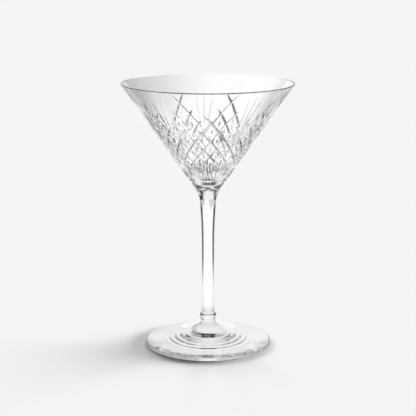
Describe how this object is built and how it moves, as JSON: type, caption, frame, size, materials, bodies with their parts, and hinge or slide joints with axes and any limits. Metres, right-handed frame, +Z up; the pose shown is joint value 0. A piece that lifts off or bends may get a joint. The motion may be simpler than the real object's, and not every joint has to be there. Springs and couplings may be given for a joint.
{
  "type": "martini glass",
  "caption": "Stemmed cocktail glass in cut crystal: a wide conical bowl with a cut pattern of diamonds, olives and leaves, a round stem with a small knob and a round foot.",
  "frame": {"origin": "centre of the foot, on the surface that the glass stands on", "axes": "+Z up along the stem, -Y towards the front, where one diamond panel of the cut pattern faces"},
  "size_m": [0.116, 0.116, 0.18],
  "materials": {
    "bowl_crystal": "clear polished lead-free crystal with polished wheel cuts",
    "stem_crystal": "clear polished lead-free crystal",
    "foot_crystal": "clear polished lead-free crystal, faint cool tint at the edge"
  },
  "bodies": {
    "root": {"bowl": "bowl_crystal", "stem": "stem_crystal", "foot": "foot_crystal"}
  },
  "joints": []
}
